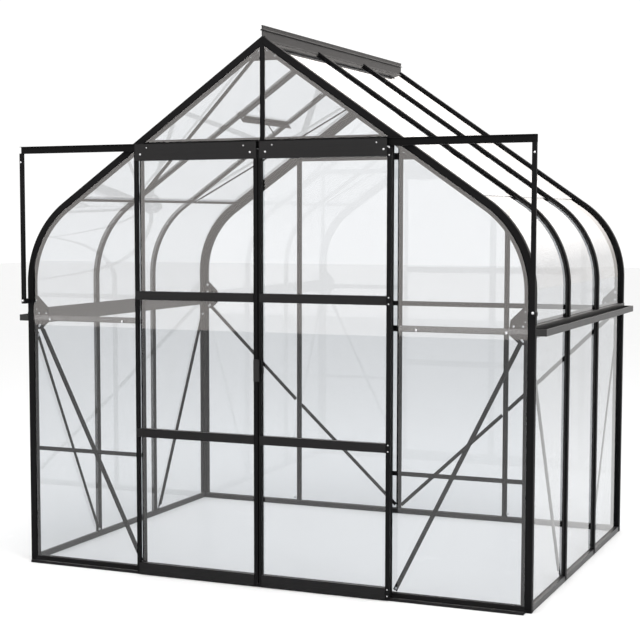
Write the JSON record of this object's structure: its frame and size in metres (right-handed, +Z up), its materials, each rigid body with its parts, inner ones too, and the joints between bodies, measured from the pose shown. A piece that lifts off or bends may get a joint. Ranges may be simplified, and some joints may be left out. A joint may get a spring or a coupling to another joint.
{
  "type": "greenhouse",
  "caption": "Free-standing glass greenhouse with curved eaves, side gutters, a roof vent and a pair of sliding gable doors.",
  "frame": {"origin": "on the floor, under the middle of the outline", "axes": "+X to the right of someone facing the doors, +Y from the doors to the back wall, +Z up"},
  "size_m": [2.6146, 1.9626, 2.547],
  "materials": {
    "frame": "black powder coat, satin",
    "glass": "clear horticultural glass",
    "plastic": "moulded black plastic"
  },
  "bodies": {
    "house": {"front_sill": "frame", "rear_sill": "frame", "side_sills": "frame", "bottom_track": "frame", "corner_posts": "frame", "wall_bars": "frame", "gutters": "frame", "front_gable_bars": "frame", "rear_gable_bars": "frame", "roof_bars": "frame", "ridge": "frame", "purlins": "frame", "door_jambs": "frame", "door_header": "frame", "front_centre_bar": "frame", "front_rails": "frame", "rear_bars": "frame", "rear_rails": "frame", "eave_gussets": "frame", "ridge_gussets": "frame", "front_braces": "frame", "rear_braces": "frame", "wall_braces": "frame", "roof_braces": "frame", "front_glass": "glass", "rear_glass": "glass", "wall_glass": "glass", "curved_glass": "glass", "roof_glass": "glass", "vent_frame": "frame", "vent_glass": "glass", "vent_sill": "frame", "vent_stay": "frame", "upper_track": "frame", "track_supports": "frame"},
    "left_door": {"left_door_stiles": "frame", "left_door_rails": "frame", "left_door_glass": "glass", "left_door_rollers": "plastic", "door_handle": "plastic"},
    "right_door": {"right_door_stiles": "frame", "right_door_rails": "frame", "right_door_glass": "glass", "right_door_rollers": "plastic", "door_catch": "plastic"}
  },
  "joints": [
    {"name": "left_door_slide", "type": "slide", "parent": "house", "child": "left_door", "axis": [-1, 0, 0], "range_m": [0, 0.6]},
    {"name": "right_door_slide", "type": "slide", "parent": "house", "child": "right_door", "axis": [1, 0, 0], "range_m": [0, 0.6]}
  ]
}
